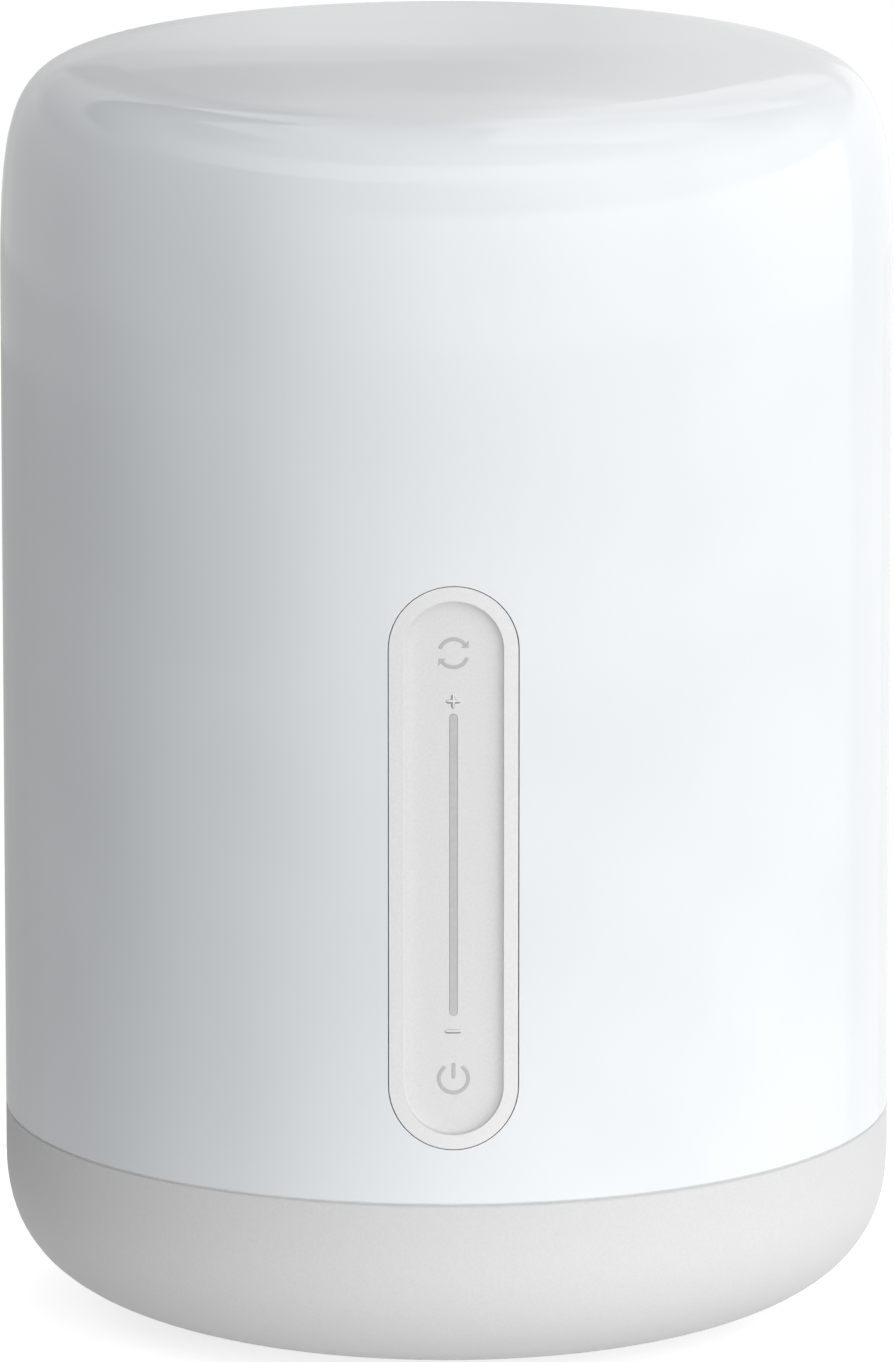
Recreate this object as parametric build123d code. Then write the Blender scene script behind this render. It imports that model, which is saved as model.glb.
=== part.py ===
from build123d import *
import os
from math import sqrt

# Touch-controlled bedside lamp: a glossy milky shade twisted onto a matte base, with a touch strip in front.
# Millimetres. +Z is up, the origin is on the table under the lamp's axis, and the touch strip faces -Y.
# "Distance" means distance from the lamp's axis, and angles are counted from +X towards +Y.

# Overall size
lamp_diameter = 140.0
lamp_height = 201.2
seam_height = 32.6  # top edge of the base, where the shade begins
seam_gap = 0.25  # fine shadow line between base and shade
edge_break = 0.25  # small bevel on the two edges of the seam

# Shade
shade_wall = 2.4
shade_crown = 1.0  # how far the top rises from the turn to the middle
shade_turn_rise = 36.5  # height over which the side turns into the top
shade_turn_run = 18.0  # distance over which the top turns into the side
shade_fullness = 0.855  # how square the turn is: 0.55 is a plain quarter ellipse

# Base shell
base_wall = 2.6
base_floor = 3.0
base_turn_height = 25.0  # height above the table where the side starts to turn under
base_flat_radius = 30.0  # distance where the underside becomes flat
base_side_fullness = 0.667
base_under_fullness = 0.725

# Foot ring
foot_inner_radius = 24.0
foot_outer_radius = 36.5
foot_standoff = 1.0  # how far the ring lifts the underside off the table
foot_groove_depth = 1.0
foot_clearance = 0.15
foot_edge = 0.35

# Fasteners
thread_clearance = 0.05
hole_clearance = 0.2
screw_radius = 1.5
screw_head_radius = 2.75
screw_head_height = 2.0
small_screw_radius = 1.0
small_screw_head_radius = 1.9
small_screw_head_height = 1.2
driver_recess_radius = 0.8
driver_recess_depth = 0.7

# Deck: the chassis plate that joins base, shade and light
deck_thickness = 2.2
deck_drop = 1.6  # deck surface below the base's top edge
spigot_wall = 2.0
spigot_clearance = 0.2
spigot_below_seam = 5.6
spigot_above_seam = 5.4
post_count = 4
post_radius = 5.5
post_boss_radius = 4.0
post_boss_shoulder_radius = 6.0
post_thread_depth = 9.0

# Bayonet between shade and deck
lug_count = 4
lug_height = 1.8
lug_depth = 2.6
lug_angle = 11.0
lug_first_angle = 45.0
lug_lift = 1.6  # lug above the shade's lower edge
lug_clearance = 0.15
lug_side_clearance = 0.3  # degrees
bayonet_turn = 13.0  # degrees of twist that lock the shade

# Ballast
ballast_thickness = 4.0
ballast_lift = 1.0
ballast_inner_radius = 14.0
ballast_edge_gap = 3.5  # ballast's edge inside the board's standoffs
ballast_clearance = 0.3

# Main board
board_thickness = 1.6
board_lift = 2.0  # board above the ballast
board_edge_gap = 13.0  # board's edge inside the lamp's side
standoff_count = 4
standoff_radius = 3.5
standoff_inset = 8.0  # standoff centre inside the board's edge
standoff_angle = 22.5
board_screw_length = 6.0
tall_part_headroom = 4.2  # air between the tallest part and the deck

# Power inlet, for a barrel plug of 5.5 mm outside and 2.1 mm inside
jack_width = 9.0
jack_length = 14.0
jack_height = 11.0
jack_axis_height = 6.5  # above the board
jack_bore_radius = 2.85
jack_bore_depth = 10.0
jack_pin_radius = 1.05
jack_pin_inset = 1.0
jack_pin_edge = 0.5
plug_recess_radius = 5.5
plug_recess_depth = 8.0  # jack's face inside the lamp's side
plug_recess_wall = 2.0
jack_clearance = 0.2

# Parts on the main board
radio_width = 16.0
radio_length = 24.0
radio_board_thickness = 1.0
radio_shield_height = 2.2
radio_shield_inset = 0.5
radio_shield_corner = 0.8
radio_antenna_length = 6.5  # bare end of the radio board
radio_inset = 21.0  # centre inside the board's left edge
radio_offset = 4.0
inductor_size = 10.0
inductor_height = 5.0
inductor_corner = 1.5
inductor_core_radius = 2.1
inductor_well_radius = 4.2
inductor_well_depth = 1.0
inductor_inset = 21.0  # centres inside the board's right edge
inductor_spacing = 13.0
capacitor_radius = 4.0
capacitor_edge = 0.5
capacitor_places = ((16.0, 17.0), (27.0, 21.0))  # each to the right, and inside the board's back edge
chip_width = 5.0
chip_length = 6.0
chip_height = 1.6
chip_places = ((0.0, 35.0), (0.0, 81.0), (-12.0, 19.0))  # each to the right, and inside the front edge
led_header_width = 10.0
led_header_depth = 6.0
led_header_height = 7.0
led_header_offset = 6.0
touch_header_width = 11.0
touch_header_depth = 4.0
touch_header_height = 4.5
touch_header_inset = 7.0  # header centre inside the board's edge

# Heat sink and light source
sink_height = 29.0
sink_plate_thickness = 3.0
sink_plate_radius = 36.0
sink_core_radius = 13.0
sink_bore_radius = 8.0
fin_count = 18
fin_thickness = 1.6
fin_radius = 32.0
sink_column_count = 3
sink_column_radius = 4.0
sink_column_distance = 24.0
sink_column_angle = 90.0
sink_screw_length = 10.0
pad_thickness = 0.4
led_board_radius = 30.0
led_board_thickness = 1.6
led_board_hole_radius = 5.0
led_screw_count = 3
led_screw_distance = 26.5
led_screw_angle = 30.0
white_led_count = 12
white_led_size = 3.0
white_led_height = 0.8
white_led_distance = 20.5
white_led_angle = 15.0
colour_led_count = 6
colour_led_size = 5.0
colour_led_height = 1.6
colour_led_distance = 13.0
colour_led_angle = 0.0
led_socket_size = 8.0
led_socket_height = 4.0
led_socket_corner = 1.0
led_cable_radius = 2.0
led_cable_lead = 3.0  # straight stretch out of the header
led_cable_bend = 5.0

# Dome that blends the colours of the light
dome_wall = 1.6
dome_rim_inset = 1.0  # rim inside the heat sink's edge
dome_side = 8.0
dome_height = 34.0
dome_fullness = 0.6
hook_count = 3
hook_first_angle = 30.0
hook_angle = 10.0
hook_barb = 0.9
hook_barb_height = 1.5
hook_barb_land = 0.5
hook_clearance = 0.3
hook_notch_angle = 11.5

# Touch strip
strip_width = 19.8
strip_length = 88.2
strip_centre_height = 85.8
strip_gap = 0.16  # dark line between strip and shade
bezel_width = 2.2
bezel_recess = 1.5
recess_cove = 0.25
touch_skin = 1.6  # thinnest plastic under the finger
flange_margin = 2.5
tape_thickness = 0.5
tape_margin = 0.6
skin_gap = 0.03  # between faces that are stuck or pressed together
pocket_wall = 2.9  # strip's edge to the pocket behind it
board_air_gap = 1.0
touch_board_thickness = 1.0
touch_board_clearance = 0.2
pillar_radius = 1.0
pillar_side_inset = 2.0
pillar_spacing = 60.0
slider_width = 1.16
slider_length = 47.3
slider_centre_height = 86.15
slider_clearance = 0.05
touch_led_size = 0.8
touch_led_length = 1.6
touch_led_height = 0.6
touch_led_gap = 0.1
slider_led_count = 6
key_led_heights = (52.8, 119.6)  # behind the two keys at the ends of the strip
cover_thickness = 1.5
cover_land = 1.4  # how far the cover reaches into the pocket to clamp the board
cover_land_width = 1.5
touch_screw_spacing = 56.0
touch_screw_inset = 0.5
touch_screw_bite = 2.4
touch_chip_size = 4.0
touch_chip_height = 0.9
touch_chip_height_above_table = 92.0
touch_socket_width = 9.0
touch_socket_length = 4.0
touch_socket_height = 1.2
touch_socket_centre_height = 56.0
ribbon_width = 8.0
ribbon_thickness = 0.3
ribbon_drop = 2.5  # straight stretch out of the socket
ribbon_step = 6.5  # height over which the ribbon passes the cover
ribbon_clearance = 1.5
ribbon_bend = 3.0
ribbon_standoff = 1.4  # ribbon behind the cover

# Levels and distances that follow from the sizes above
lamp_radius = lamp_diameter / 2
shade_bottom = seam_height + seam_gap
shade_inner_radius = lamp_radius - shade_wall
crown_edge = lamp_radius - shade_turn_run
crown_radius = (crown_edge**2 + shade_crown**2) / (2 * shade_crown)
crown_slope = crown_edge / (crown_radius - shade_crown)
base_inner_radius = lamp_radius - base_wall
underside = foot_standoff
floor_top = underside + base_floor
foot_ceiling = underside + foot_groove_depth
ballast_bottom = floor_top + ballast_lift
ballast_top = ballast_bottom + ballast_thickness
board_bottom = ballast_top + board_lift
board_top = board_bottom + board_thickness
board_radius = lamp_radius - board_edge_gap
standoff_distance = board_radius - standoff_inset
ballast_outer_radius = standoff_distance - standoff_radius - ballast_edge_gap
radio_position = (radio_inset - board_radius, radio_offset)
inductor_positions = [(board_radius - inductor_inset, side * inductor_spacing / 2) for side in (-1, 1)]
capacitor_positions = [(x, board_radius - inset) for x, inset in capacitor_places]
chip_positions = [(x, inset - board_radius) for x, inset in chip_places]
deck_top = seam_height - deck_drop
deck_underside = deck_top - deck_thickness
spigot_radius = min(base_inner_radius, shade_inner_radius) - spigot_clearance
spigot_inner_radius = spigot_radius - spigot_wall
spigot_bottom = seam_height - spigot_below_seam
spigot_top = seam_height + spigot_above_seam
post_distance = (foot_inner_radius + foot_outer_radius) / 2
lug_bottom = shade_bottom + lug_lift
jack_axis = board_top + jack_axis_height
jack_face = lamp_radius - plug_recess_depth
touch_header_distance = board_radius - touch_header_inset
sink_bottom = deck_top
sink_top = sink_bottom + sink_height
sink_plate_bottom = sink_top - sink_plate_thickness
led_board_bottom = sink_top + pad_thickness
led_board_top = led_board_bottom + led_board_thickness
dome_radius = sink_plate_radius - dome_rim_inset
floor_radius = lamp_radius - bezel_recess
flange_radius = shade_inner_radius - tape_thickness - 2 * skin_gap
pocket_side = strip_width / 2 - pocket_wall
pocket_front = sqrt(floor_radius**2 - pocket_side**2) - touch_skin
touch_board_front = pocket_front - board_air_gap
touch_board_back = touch_board_front - touch_board_thickness
panel_back = touch_board_back - cover_land
cover_back = panel_back - cover_thickness
guide_back = touch_board_front + touch_led_height + touch_led_gap
pillar_side = pocket_side - pillar_side_inset
touch_screw_side = strip_width / 2 - touch_screw_inset
ribbon_start = touch_socket_centre_height - touch_socket_length / 2
ribbon_front = touch_board_back - touch_socket_height / 2
ribbon_back = cover_back - ribbon_standoff


# Helpers
def turned(outline):
    """Solid of revolution about the lamp's axis from a closed outline of (distance, height)."""
    return revolve(Plane.XZ * make_face(outline), Axis.Z)


def disc(radius, bottom, top):
    """Upright round bar on the lamp's axis."""
    return Pos(0, 0, bottom) * Cylinder(radius, top - bottom, align=(Align.CENTER, Align.CENTER, Align.MIN))


def ring(inner_radius, outer_radius, bottom, top):
    """Upright tube on the lamp's axis."""
    return disc(outer_radius, bottom, top) - disc(inner_radius, bottom, top)


def block(width, depth, bottom, top):
    """Upright block centred on the lamp's axis."""
    return Pos(0, 0, bottom) * Box(width, depth, top - bottom, align=(Align.CENTER, Align.CENTER, Align.MIN))


def around(count, distance, first_angle):
    """Places on a circle about the lamp's axis, each turned to face outwards along its own X."""
    return [Rot(0, 0, first_angle + 360 / count * i) * Pos(distance, 0, 0) for i in range(count)]


def sector(inner_radius, outer_radius, bottom, top, angle, middle_angle):
    """Piece of an upright tube, angle degrees wide."""
    centre = Pos((inner_radius + outer_radius) / 2, (bottom + top) / 2)
    outline = centre * Rectangle(outer_radius - inner_radius, top - bottom)
    return Rot(0, 0, middle_angle - angle / 2) * revolve(Plane.XZ * outline, Axis.Z, angle)


def slot_bar(width, length, centre_height, near, far):
    """Bar of slot section through the front, from distance near to distance far."""
    outline = Pos(0, centre_height) * SlotOverall(length, width, rotation=90)
    return extrude(Plane.XZ.offset(near) * outline, far - near)


def strip_bar(margin, near, far):
    """Bar through the front with the touch strip's outline, grown by margin all round."""
    return slot_bar(strip_width + 2 * margin, strip_length + 2 * margin, strip_centre_height, near, far)


def front_block(width, length, centre_height, near, far):
    """Block at the front, from distance near to distance far, width across and length high."""
    outline = Pos(0, centre_height) * Rectangle(width, length)
    return extrude(Plane.XZ.offset(near) * outline, far - near)


def screw(shank_radius, shank_length, head_radius, head_height):
    """Pan-head screw standing on its head, with the underside of the head at height 0."""
    shank = disc(shank_radius, 0, shank_length)
    head = disc(head_radius, -head_height, 0)
    head = fillet(head.edges().sort_by(Axis.Z)[0], head_height / 2)
    driver = Pos(0, 0, -head_height) * extrude(RegularPolygon(driver_recess_radius, 6), driver_recess_depth)
    return shank + head - driver


def group(pieces):
    """Identical separate solids that share one node."""
    return Compound(children=list(pieces))


post_places = around(post_count, post_distance, 180 / post_count)
standoff_places = around(standoff_count, standoff_distance, standoff_angle)
column_places = around(sink_column_count, sink_column_distance, sink_column_angle)
led_screw_places = around(led_screw_count, led_screw_distance, led_screw_angle)
hook_angles = [hook_first_angle + 360 / hook_count * i for i in range(hook_count)]
lug_angles = [lug_first_angle + 360 / lug_count * i for i in range(lug_count)]
corners = [(side, end) for side in (-1, 1) for end in (-1, 1)]
touch_screw_places = [
    (side * touch_screw_side, strip_centre_height + end * touch_screw_spacing / 2) for side, end in corners
]


# Shade
def shade_outline(radius, bottom, top):
    """Half section of the shade's outer or inner skin, closed along the axis, with a crowned top."""
    turn_start = (radius, lamp_height - shade_turn_rise)
    turn_end = (crown_edge, top - shade_crown)
    reach = shade_fullness * (radius - crown_edge)
    turn = Bezier(
        turn_start,
        (radius, turn_start[1] + shade_fullness * (turn_end[1] - turn_start[1])),
        (crown_edge + reach, turn_end[1] - crown_slope * reach),
        turn_end,
    )
    crown_middle = (crown_edge / 2, top - crown_radius + sqrt(crown_radius**2 - (crown_edge / 2) ** 2))
    crown = ThreePointArc(turn_end, crown_middle, (0, top))
    wall = Polyline((0, top), (0, bottom), (radius, bottom), turn_start)
    return wall + turn + crown


def make_shade():
    """Milky shell, open below, with bayonet lugs inside its lower edge and a window for the touch strip."""
    shell = turned(shade_outline(lamp_radius, shade_bottom, lamp_height))
    shell = chamfer(shell.edges().filter_by(GeomType.CIRCLE).sort_by(Axis.Z)[0], edge_break)
    shell -= turned(shade_outline(shade_inner_radius, shade_bottom, lamp_height - shade_wall))
    for angle in lug_angles:
        shell += sector(
            shade_inner_radius - lug_depth,
            shade_inner_radius + shade_wall / 2,
            lug_bottom,
            lug_bottom + lug_height,
            lug_angle,
            angle,
        )
    return shell - strip_bar(strip_gap, cover_back, lamp_diameter)


# Base
def base_outline(radius, bottom, top):
    """Half section of the base's outer or inner skin, closed along the axis."""
    turn_start = (radius, base_turn_height)
    turn_end = (base_flat_radius, bottom)
    turn = Bezier(
        turn_start,
        (radius, turn_start[1] - base_side_fullness * (turn_start[1] - bottom)),
        (turn_end[0] + base_under_fullness * (radius - turn_end[0]), bottom),
        turn_end,
    )
    return Line((radius, top), turn_start) + turn + Polyline(turn_end, (0, bottom), (0, top), (radius, top))


def make_base_shell():
    """Moulded bowl with screw bosses, board standoffs, a foot groove below and the plug recess behind."""
    bowl = turned(base_outline(lamp_radius, underside, seam_height))
    bowl = chamfer(bowl.edges().filter_by(GeomType.CIRCLE).sort_by(Axis.Z)[-1], edge_break)
    hollow = turned(base_outline(base_inner_radius, floor_top, seam_height))
    bosses = Part() + [
        place * (disc(post_boss_shoulder_radius, 0, ballast_bottom) + disc(post_boss_radius, 0, ballast_top))
        for place in post_places
    ]
    bosses += [place * disc(standoff_radius, 0, board_bottom) for place in standoff_places]
    back_axis = Pos(0, jack_face + jack_clearance, jack_axis) * Rot(-90, 0, 0)
    bosses += back_axis * disc(plug_recess_radius + plug_recess_wall, 0, lamp_radius)
    shell = bowl - hollow + (bosses & bowl)
    shell -= ring(foot_inner_radius - foot_clearance, foot_outer_radius + foot_clearance, 0, foot_ceiling)
    for place in post_places:
        shell -= place * disc(screw_head_radius + hole_clearance, 0, foot_ceiling + screw_head_height)
        shell -= place * disc(screw_radius + hole_clearance, 0, ballast_top)
    pilot = disc(small_screw_radius + thread_clearance, board_top - board_screw_length, board_bottom)
    for place in standoff_places:
        shell -= place * pilot
    return shell - back_axis * disc(plug_recess_radius, 0, lamp_radius)


def make_foot_ring():
    """Soft ring that the lamp stands on, pressed into the groove and hiding the base screws."""
    foot = ring(foot_inner_radius, foot_outer_radius, 0, foot_ceiling)
    return fillet(foot.edges().group_by(Axis.Z)[0], foot_edge)


def make_base_screws():
    """Screws that draw the deck's posts down onto the base's bosses."""
    seat = foot_ceiling + screw_head_height
    bite = ballast_top - seat + post_thread_depth
    one = screw(screw_radius, bite, screw_head_radius, screw_head_height)
    return group(place * Pos(0, 0, seat) * one for place in post_places)


def make_ballast_plate():
    """Steel ring that keeps the lamp from sliding, clamped on the bosses by the deck's posts."""
    plate = ring(ballast_inner_radius, ballast_outer_radius, ballast_bottom, ballast_top)
    for place in post_places:
        plate -= place * disc(post_boss_radius + ballast_clearance, ballast_bottom, ballast_top)
    return plate


# Deck
def make_deck():
    """White tray inside the seam: spigot with bayonet tracks, plate that carries the light, and posts."""
    deck = ring(spigot_inner_radius, spigot_radius, spigot_bottom, spigot_top)
    deck += disc(spigot_radius - spigot_wall / 2, deck_underside, deck_top)
    track_bottom = lug_bottom - lug_clearance
    track_top = lug_bottom + lug_height + lug_clearance
    track_inner = spigot_inner_radius - spigot_wall
    entry = lug_angle + 2 * lug_side_clearance
    for angle in lug_angles:
        run_middle = angle + bayonet_turn / 2
        deck -= sector(track_inner, lamp_radius, track_bottom, track_top, entry + bayonet_turn, run_middle)
        deck -= sector(track_inner, lamp_radius, track_bottom, lamp_height, entry, angle + bayonet_turn)
    for place in post_places:
        deck += place * disc(post_radius, ballast_top, deck_underside)
        deck -= place * disc(screw_radius + thread_clearance, ballast_top, ballast_top + post_thread_depth)
    for place in column_places:
        deck -= place * disc(screw_radius + hole_clearance, deck_underside, deck_top)
    deck -= disc(sink_bore_radius, deck_underside, deck_top)
    slot = block(ribbon_width + 2 * ribbon_clearance, 2 * ribbon_clearance, deck_underside, deck_top)
    deck -= Pos(0, -ribbon_back, 0) * slot
    collar_radius = plug_recess_radius + plug_recess_wall + jack_clearance
    return deck - Pos(0, 0, jack_axis) * Rot(-90, 0, 0) * disc(collar_radius, 0, lamp_radius)


# Main board and what is soldered to it
def make_main_board():
    """Round circuit board on the base's standoffs, cut out for the deck's posts."""
    board = disc(board_radius, board_bottom, board_top)
    for place in post_places:
        board -= place * disc(post_radius + hole_clearance, board_bottom, board_top)
    for place in standoff_places:
        board -= place * disc(small_screw_radius + hole_clearance, board_bottom, board_top)
    return board


def make_main_board_screws():
    """Small screws that hold the board on its standoffs."""
    one = Rot(180, 0, 0) * screw(
        small_screw_radius, board_screw_length, small_screw_head_radius, small_screw_head_height
    )
    return group(place * Pos(0, 0, board_top) * one for place in standoff_places)


def on_board(position, piece):
    """Stands a piece that starts at height 0 on the main board."""
    return Pos(position[0], position[1], board_top) * piece


def make_radio_module():
    """Radio board with its bare antenna end."""
    return on_board(radio_position, block(radio_width, radio_length, 0, radio_board_thickness))


def make_radio_shield():
    """Tin can over the radio's chips."""
    width = radio_width - 2 * radio_shield_inset
    length = radio_length - radio_antenna_length - 2 * radio_shield_inset
    can = block(width, length, radio_board_thickness, radio_board_thickness + radio_shield_height)
    can = fillet(can.edges().filter_by(Axis.Z), radio_shield_corner)
    return on_board((radio_position[0], radio_position[1] - radio_antenna_length / 2), can)


def make_driver_chips():
    """Driver chips for the white light, the coloured light and the supply."""
    return group(on_board(p, block(chip_width, chip_length, 0, chip_height)) for p in chip_positions)


def make_power_inductors():
    """Moulded inductors with a round winding well."""
    body = block(inductor_size, inductor_size, 0, inductor_height)
    body = fillet(body.edges().filter_by(Axis.Z), inductor_corner)
    well = ring(
        inductor_core_radius, inductor_well_radius, inductor_height - inductor_well_depth, inductor_height
    )
    return group(on_board(p, body - well) for p in inductor_positions)


def make_filter_capacitors():
    """Upright electrolytic capacitors."""
    height = deck_underside - board_top - tall_part_headroom
    can = disc(capacitor_radius, 0, height)
    can = fillet(can.edges().sort_by(Axis.Z)[-1], capacitor_edge)
    return group(on_board(p, can) for p in capacitor_positions)


def make_dc_jack():
    """Inlet for a barrel plug, facing out of the back."""
    body = block(jack_width, jack_length, board_top, board_top + jack_height)
    body = Pos(0, jack_face - jack_length / 2, 0) * body
    mouth = Pos(0, jack_face, jack_axis) * Rot(90, 0, 0)
    return body - mouth * disc(jack_bore_radius, 0, jack_bore_depth)


def make_dc_jack_pin():
    """Centre contact of the inlet."""
    root = Pos(0, jack_face - jack_bore_depth, jack_axis) * Rot(-90, 0, 0)
    pin = disc(jack_pin_radius, 0, jack_bore_depth - jack_pin_inset)
    return root * fillet(pin.edges().sort_by(Axis.Z)[-1], jack_pin_edge)


def make_led_header():
    """Wafer connector where the light's cable starts."""
    return on_board((led_header_offset, 0), block(led_header_width, led_header_depth, 0, led_header_height))


def make_touch_header():
    """Upright connector for the touch strip's ribbon."""
    return on_board(
        (0, -touch_header_distance), block(touch_header_width, touch_header_depth, 0, touch_header_height)
    )


# Heat sink and light source
def make_heat_sink():
    """Cast sink: hollow core, radial fins, screw columns, and a plate with notches for the dome's hooks."""
    sink = disc(sink_core_radius, sink_bottom, sink_plate_bottom)
    fin = Pos(fin_radius / 2, 0, 0) * block(fin_radius, fin_thickness, sink_bottom, sink_plate_bottom)
    sink += [Rot(0, 0, 360 / fin_count * (i + 0.5)) * fin for i in range(fin_count)]
    sink += [place * disc(sink_column_radius, sink_bottom, sink_plate_bottom) for place in column_places]
    sink += disc(sink_plate_radius, sink_plate_bottom, sink_top)
    sink -= disc(sink_bore_radius, sink_bottom, sink_top)
    for place in column_places:
        sink -= place * disc(screw_radius + thread_clearance, sink_bottom, sink_bottom + sink_screw_length)
    for place in led_screw_places:
        sink -= place * disc(screw_radius + thread_clearance, sink_plate_bottom, sink_top)
    notch_inner = dome_radius - dome_wall - hook_clearance
    for angle in hook_angles:
        sink -= sector(notch_inner, lamp_radius, sink_plate_bottom, sink_top, hook_notch_angle, angle)
    return sink


def make_heat_sink_screws():
    """Screws from under the deck into the heat sink's columns."""
    one = screw(screw_radius, deck_thickness + sink_screw_length, screw_head_radius, screw_head_height)
    return group(place * Pos(0, 0, deck_underside) * one for place in column_places)


def make_thermal_pad():
    """Soft pad that carries heat from the light's board to the sink."""
    pad = ring(led_board_hole_radius, led_board_radius, sink_top, led_board_bottom)
    for place in led_screw_places:
        pad -= place * disc(screw_radius + hole_clearance, sink_top, led_board_bottom)
    return pad


def make_led_board():
    """Metal-core board that carries the light's diodes."""
    board = ring(led_board_hole_radius, led_board_radius, led_board_bottom, led_board_top)
    for place in led_screw_places:
        board -= place * disc(screw_radius + hole_clearance, led_board_bottom, led_board_top)
    return board


def make_led_board_screws():
    """Screws that press the light's board and its pad onto the sink."""
    length = led_board_top - sink_plate_bottom
    one = Rot(180, 0, 0) * screw(screw_radius, length, screw_head_radius, screw_head_height)
    return group(place * Pos(0, 0, led_board_top) * one for place in led_screw_places)


def make_white_leds():
    """Ring of white diodes."""
    one = block(white_led_size, white_led_size, led_board_top, led_board_top + white_led_height)
    return group(place * one for place in around(white_led_count, white_led_distance, white_led_angle))


def make_colour_leds():
    """Inner ring of coloured diodes."""
    one = block(colour_led_size, colour_led_size, led_board_top, led_board_top + colour_led_height)
    return group(place * one for place in around(colour_led_count, colour_led_distance, colour_led_angle))


def make_led_socket():
    """Socket over the board's centre hole, where the cable arrives from below."""
    socket = block(led_socket_size, led_socket_size, led_board_top, led_board_top + led_socket_height)
    socket = fillet(socket.edges().filter_by(Axis.Z), led_socket_corner)
    return socket + disc(led_cable_radius, led_board_bottom, led_board_top)


def make_led_cable():
    """Sheathed cable from the main board up through deck and heat sink."""
    start = board_top + led_header_height
    route = FilletPolyline(
        (led_header_offset, 0, start),
        (led_header_offset, 0, start + led_cable_lead),
        (0, 0, deck_underside),
        (0, 0, led_board_bottom),
        radius=led_cable_bend,
    )
    return sweep(Plane(route @ 0, z_dir=route % 0) * Circle(led_cable_radius), path=route)


def make_mixing_dome():
    """Milky cap that blends the diodes' colours, held by hooks under the heat sink's plate."""
    dome = turned(dome_outline(dome_radius, sink_top + dome_height))
    dome -= turned(dome_outline(dome_radius - dome_wall, sink_top + dome_height - dome_wall))
    barb_top = sink_plate_bottom - hook_clearance
    hook = make_face(
        Polyline(
            (dome_radius - dome_wall, sink_top),
            (dome_radius - dome_wall, barb_top - hook_barb_height),
            (dome_radius, barb_top - hook_barb_height),
            (dome_radius + hook_barb, barb_top - hook_barb_land),
            (dome_radius + hook_barb, barb_top),
            (dome_radius, barb_top),
            (dome_radius, sink_top),
            close=True,
        )
    )
    for angle in hook_angles:
        dome += Rot(0, 0, angle - hook_angle / 2) * revolve(Plane.XZ * hook, Axis.Z, hook_angle)
    return dome


def dome_outline(radius, top):
    """Half section of the dome's outer or inner skin, closed along the axis."""
    turn_start = (radius, sink_top + dome_side)
    turn = Bezier(
        turn_start,
        (radius, turn_start[1] + dome_fullness * (top - turn_start[1])),
        (dome_fullness * radius, top),
        (0, top),
    )
    return Polyline((0, sink_top), (radius, sink_top), turn_start) + turn + Line((0, top), (0, sink_top))


# Touch strip
def make_touch_panel():
    """Matte moulding flush with the shade: bezel, dished touch face, and a flange and pocket behind."""
    panel = strip_bar(0, panel_back, lamp_diameter) & disc(lamp_radius, 0, lamp_height)
    panel += strip_bar(flange_margin, panel_back, lamp_diameter) & disc(flange_radius, 0, lamp_height)
    panel -= strip_bar(-bezel_width, panel_back, lamp_diameter) - disc(floor_radius, 0, lamp_height)
    panel = fillet(panel.edges().filter_by(lies_on_touch_floor), recess_cove)
    panel -= strip_bar(-pocket_wall, panel_back, pocket_front)
    for side, end in corners:
        centre = Pos(side * pillar_side, strip_centre_height + end * pillar_spacing / 2)
        panel += extrude(Plane.XZ.offset(touch_board_front) * centre * Circle(pillar_radius), board_air_gap)
    slot_width = slider_width + 2 * slider_clearance
    slot_length = slider_length + 2 * slider_clearance
    panel -= slot_bar(slot_width, slot_length, slider_centre_height, panel_back, lamp_diameter)
    for x, z in touch_screw_places:
        hole = Pos(x, z) * Circle(small_screw_radius + thread_clearance)
        panel -= extrude(Plane.XZ.offset(panel_back) * hole, touch_screw_bite)
    return panel


def lies_on_touch_floor(edge):
    """True for the edges where the dish's wall meets its floor."""
    points = [edge @ t for t in (0, 0.5, 1)]
    return all(abs(sqrt(p.X**2 + p.Y**2) - floor_radius) < 0.01 for p in points)


def make_slider_light_guide():
    """Clear bar that shows the set brightness, flush with the touch face."""
    bar = slot_bar(slider_width, slider_length, slider_centre_height, guide_back, lamp_diameter)
    return bar & disc(floor_radius, 0, lamp_height)


def make_touch_tape():
    """Foam tape that sticks the strip's flange to the inside of the shade."""
    tape_back = flange_radius + skin_gap
    tape = ring(tape_back, tape_back + tape_thickness, 0, lamp_height)
    tape &= strip_bar(flange_margin, panel_back, lamp_diameter)
    return tape - strip_bar(tape_margin, panel_back, lamp_diameter)


def make_touch_board():
    """Narrow circuit board with the touch pads, in the pocket behind the strip."""
    return strip_bar(-pocket_wall - touch_board_clearance, touch_board_back, touch_board_front)


def make_touch_leds():
    """Small diodes behind the slider and the two keys."""
    pitch = slider_length / slider_led_count
    lowest = slider_centre_height - slider_length / 2 + pitch / 2
    heights = [lowest + pitch * i for i in range(slider_led_count)]
    led_front = touch_board_front + touch_led_height
    return group(
        front_block(touch_led_size, touch_led_length, z, touch_board_front, led_front)
        for z in (*heights, *key_led_heights)
    )


def make_touch_chip():
    """Touch controller on the back of the touch board."""
    return front_block(
        touch_chip_size,
        touch_chip_size,
        touch_chip_height_above_table,
        touch_board_back - touch_chip_height,
        touch_board_back,
    )


def make_touch_socket():
    """Ribbon socket on the back of the touch board."""
    return front_block(
        touch_socket_width,
        touch_socket_length,
        touch_socket_centre_height,
        touch_board_back - touch_socket_height,
        touch_board_back,
    )


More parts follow.
